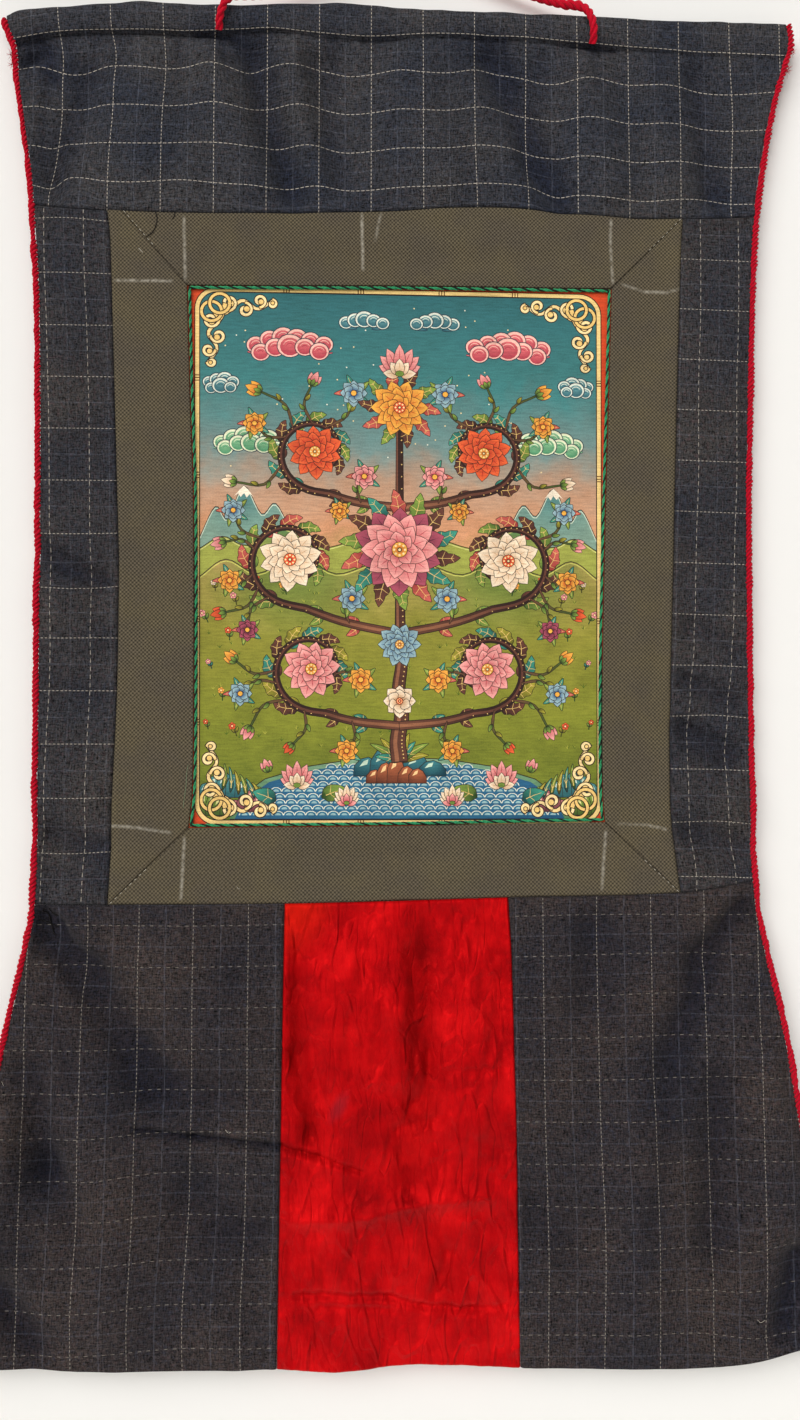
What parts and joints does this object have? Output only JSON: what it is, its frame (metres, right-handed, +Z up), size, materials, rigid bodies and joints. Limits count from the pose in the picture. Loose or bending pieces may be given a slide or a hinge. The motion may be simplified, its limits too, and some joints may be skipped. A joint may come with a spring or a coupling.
{
  "type": "thangka scroll painting",
  "caption": "Hanging cloth scroll: a painted canvas in a mitred olive mount, set in check suiting panels with a red satin panel below, corded sides and a hanging cord.",
  "frame": {"origin": "middle of the scroll's top edge, in the middle of its heading's depth", "axes": "+X to the viewer's right across the scroll, +Y towards the wall behind it, +Z up; the painted face looks along -Y"},
  "size_m": [0.4908, 0.0171, 0.8055],
  "materials": {
    "check_suiting": "matt woven",
    "red_satin": "satin weave",
    "olive_mount_cloth": "matt woven",
    "painted_canvas": "matt paint on primed cotton",
    "red_cord": "twisted yarn",
    "green_cord": "twisted yarn"
  },
  "bodies": {
    "root": {"top_panel": "check_suiting", "side_panel_left": "check_suiting", "side_panel_right": "check_suiting", "lower_panel_left": "check_suiting", "lower_panel_right": "check_suiting", "centre_panel": "red_satin", "mount_top": "olive_mount_cloth", "mount_bottom": "olive_mount_cloth", "mount_left": "olive_mount_cloth", "mount_right": "olive_mount_cloth", "painting": "painted_canvas", "painting_cord": "green_cord", "edge_cord_left": "red_cord", "edge_cord_right": "red_cord", "hanging_cord": "red_cord"}
  },
  "joints": []
}
